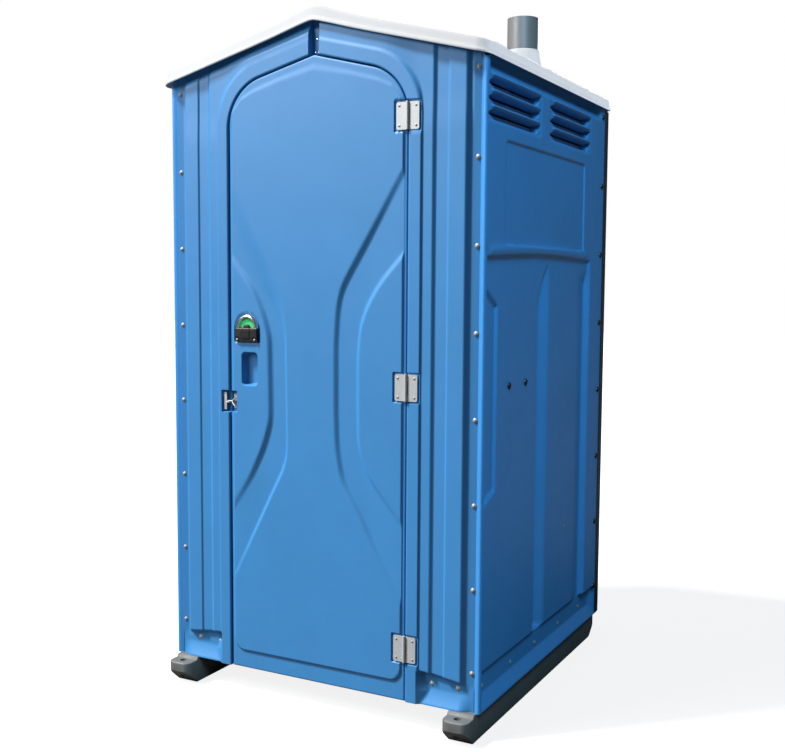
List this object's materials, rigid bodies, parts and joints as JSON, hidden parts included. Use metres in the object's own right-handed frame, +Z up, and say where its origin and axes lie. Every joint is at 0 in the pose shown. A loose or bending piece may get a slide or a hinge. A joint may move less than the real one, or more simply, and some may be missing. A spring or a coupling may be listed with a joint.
{
  "type": "portable toilet cabin",
  "caption": "Blue moulded plastic toilet cabin on skids with an arched hinged door, louvred sides, translucent gable roof, vent pipe, waste tank with seat and lid, urinal and paper holder",
  "frame": {"origin": "on the ground under the middle of the whole object's bounding box", "axes": "+X to the right of somebody facing the door, +Y to the back of the cabin, +Z up"},
  "size_m": [1.13, 1.188, 2.298],
  "materials": {
    "blue_panel": "rotationally moulded polyethylene, fine orange peel, semi-matte",
    "inner_skin": "moulded polyethylene, semi-matte",
    "roof_white": "translucent white polyethylene, semi-matte",
    "black_plastic": "dark grey recycled plastic, semi-matte",
    "pipe_grey": "grey pipe plastic, satin",
    "tank_grey": "grey moulded polyethylene, satin",
    "hinge_metal": "zinc plated or stainless sheet, brushed",
    "rivet_metal": "bright aluminium rivet heads",
    "paper_rod_plastic": "gloss white rod",
    "lid_pin_plastic": "grey pins",
    "vacant_green": "green half disc",
    "occupied_red": "red half disc"
  },
  "bodies": {
    "cabin": {"skid_left": "black_plastic", "skid_right": "black_plastic", "floor_pan": "black_plastic", "side_panel_left": "blue_panel", "side_panel_right": "blue_panel", "back_panel": "blue_panel", "front_jamb_left": "blue_panel", "front_jamb_right": "blue_panel", "roof": "roof_white", "vent_pipe": "pipe_grey", "rear_corner_trim_left": "black_plastic", "rear_corner_trim_right": "black_plastic", "hinge_top_frame_leaf": "hinge_metal", "hinge_top_pin": "hinge_metal", "hinge_middle_frame_leaf": "hinge_metal", "hinge_middle_pin": "hinge_metal", "hinge_bottom_frame_leaf": "hinge_metal", "hinge_bottom_pin": "hinge_metal", "latch_strike": "hinge_metal", "padlock_bracket_jamb": "hinge_metal", "holding_tank": "tank_grey", "toilet_seat": "tank_grey", "lid_hinge_pins": "lid_pin_plastic", "urinal": "tank_grey", "urinal_drain_pipe": "pipe_grey", "paper_holder_bracket": "hinge_metal", "coat_hook": "hinge_metal", "front_rivets": "rivet_metal", "rear_rivets": "black_plastic", "base_rivets": "rivet_metal", "tank_rivets": "rivet_metal", "hinge_rivets_frame": "hinge_metal", "holder_bolts": "black_plastic", "skid_bolts": "hinge_metal", "urinal_screws": "rivet_metal", "header_splice": "rivet_metal", "header_rivets": "rivet_metal"},
    "door": {"door_outer_skin": "blue_panel", "door_inner_skin": "inner_skin", "hinge_top_door_leaf": "hinge_metal", "hinge_middle_door_leaf": "hinge_metal", "hinge_bottom_door_leaf": "hinge_metal", "latch_housing": "black_plastic", "latch_inner_plate": "hinge_metal", "padlock_bracket_door": "hinge_metal", "hinge_rivets_door": "hinge_metal", "latch_screws": "rivet_metal"},
    "latch": {"indicator_vacant": "vacant_green", "indicator_occupied": "occupied_red", "latch_spindle": "hinge_metal", "latch_lever": "hinge_metal"},
    "lid": {"seat_lid": "tank_grey"},
    "paper_rod": {"paper_spindle": "paper_rod_plastic"}
  },
  "joints": [
    {"name": "door_hinge", "type": "hinge", "parent": "cabin", "child": "door", "pos_m": [0.316, -0.5442, 1.024], "axis": [0, 0, 1], "range_deg": [0, 110]},
    {"name": "latch_turn", "type": "hinge", "parent": "door", "child": "latch", "pos_m": [-0.246, -0.5, 1.186], "axis": [0, 1, 0], "range_deg": [0, 180]},
    {"name": "lid_hinge", "type": "hinge", "parent": "cabin", "child": "lid", "pos_m": [-0.06, 0.398, 0.537], "axis": [-1, 0, 0], "range_deg": [0, 95]},
    {"name": "paper_rod_spin", "type": "hinge", "parent": "cabin", "child": "paper_rod", "pos_m": [0.4433, -0.24, 1.023], "axis": [0, 1, 0], "continuous": true}
  ]
}
